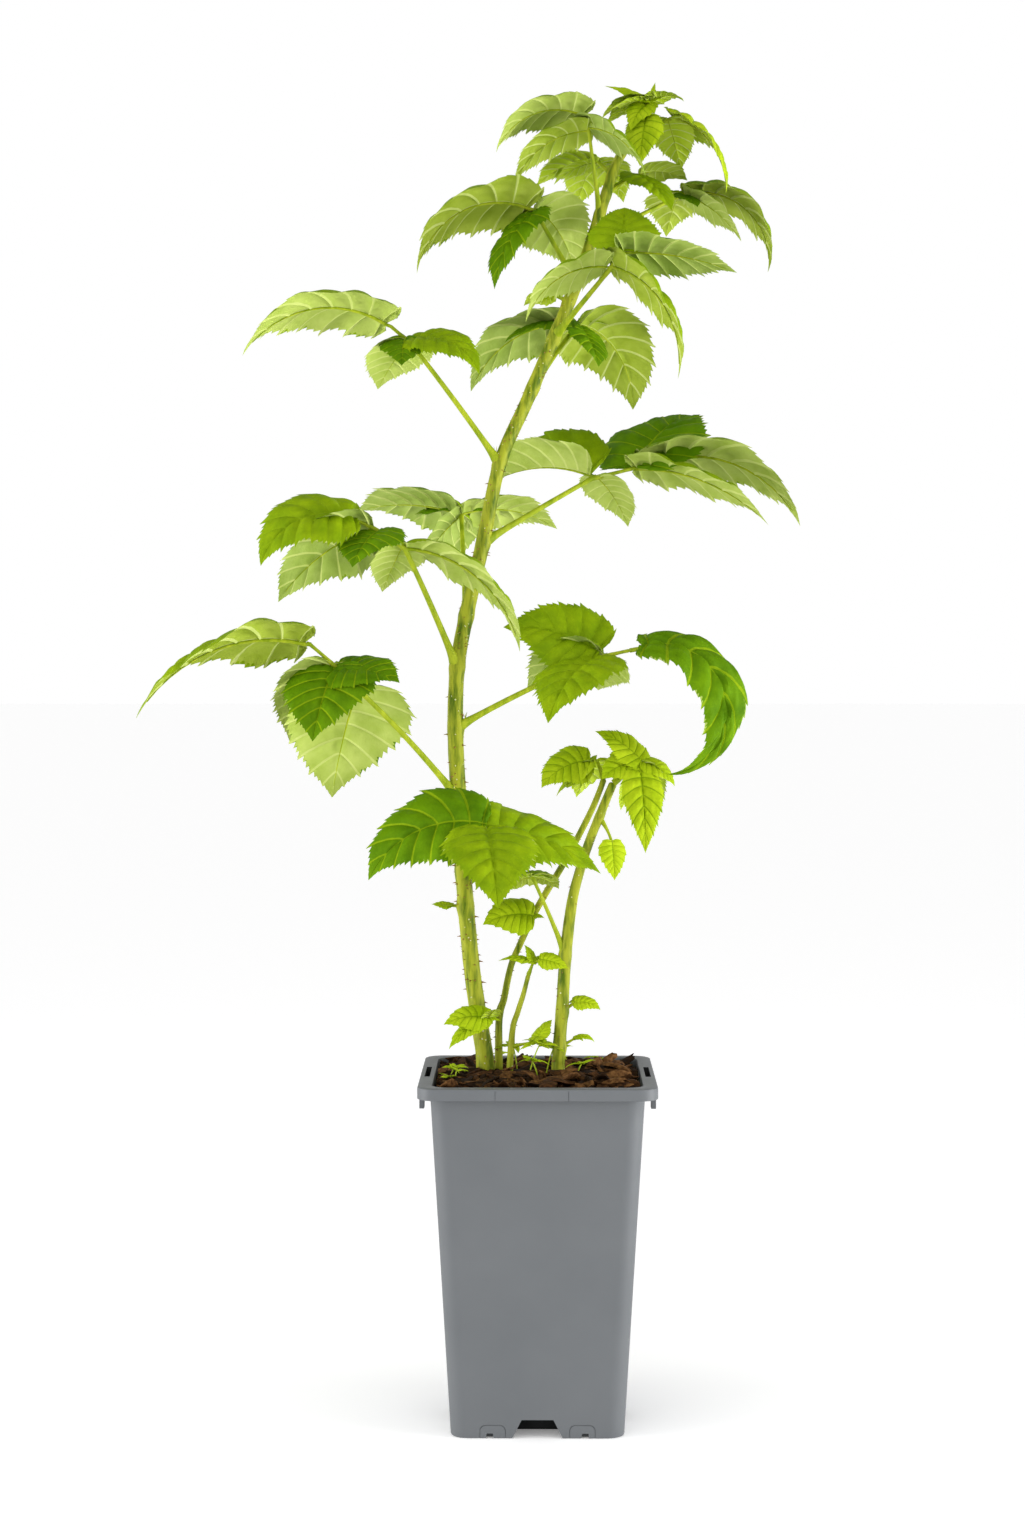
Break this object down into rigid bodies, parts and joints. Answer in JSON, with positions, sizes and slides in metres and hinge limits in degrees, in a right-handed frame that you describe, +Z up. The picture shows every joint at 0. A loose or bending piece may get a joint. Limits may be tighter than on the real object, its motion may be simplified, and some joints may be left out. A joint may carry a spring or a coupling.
{
  "type": "raspberry cane in a pot",
  "caption": "Young raspberry cane with drooping compound leaves on long stalks, in a tall square tapered nursery pot filled with bark.",
  "frame": {"origin": "middle of the pot's flat underside", "axes": "+Z up, +X to the right and +Y away as the plant is looked at from its front"},
  "size_m": [0.4172, 0.2445, 0.8565],
  "materials": {
    "pot": "matt moulded grey plastic",
    "bark": "rough brown bark mulch over compost",
    "canes": "satin green bark with fine prickles",
    "stalks": "satin green leaf stalk",
    "leaves": "satin leaf, pale underneath",
    "young_leaves": "satin lime-green young leaf"
  },
  "bodies": {
    "root": {"bark": "bark", "cane_back": "canes", "cane_main": "canes", "cane_right": "canes", "cane_thin": "canes", "leaf_back_low": "young_leaves", "leaf_back_top": "young_leaves", "leaf_base_left": "young_leaves", "leaf_base_right": "young_leaves", "leaf_cane_tip": "young_leaves", "leaf_high_back": "leaves", "leaf_high_left": "leaves", "leaf_high_right": "leaves", "leaf_low_front": "leaves", "leaf_low_left": "leaves", "leaf_low_right": "leaves", "leaf_main_bud": "young_leaves", "leaf_mid_back": "leaves", "leaf_mid_left": "leaves", "leaf_mid_right": "leaves", "leaf_right_foot": "young_leaves", "leaf_right_hanging": "young_leaves", "leaf_right_low": "leaves", "leaf_right_top": "young_leaves", "leaf_thin_low": "young_leaves", "leaf_thin_top": "young_leaves", "leaf_top_back": "young_leaves", "leaf_top_left": "leaves", "leaf_top_right": "young_leaves", "leaf_upper_back": "leaves", "leaf_upper_bud": "young_leaves", "leaf_upper_left": "leaves", "leaf_upper_right": "leaves", "pot": "pot", "stalk_high_back": "stalks", "stalk_high_left": "stalks", "stalk_high_right": "stalks", "stalk_low_front": "stalks", "stalk_low_left": "stalks", "stalk_low_right": "stalks", "stalk_mid_back": "stalks", "stalk_mid_left": "stalks", "stalk_mid_right": "stalks", "stalk_right_low": "stalks", "stalk_top_left": "stalks", "stalk_upper_left": "stalks", "stalk_upper_right": "stalks"}
  },
  "joints": []
}
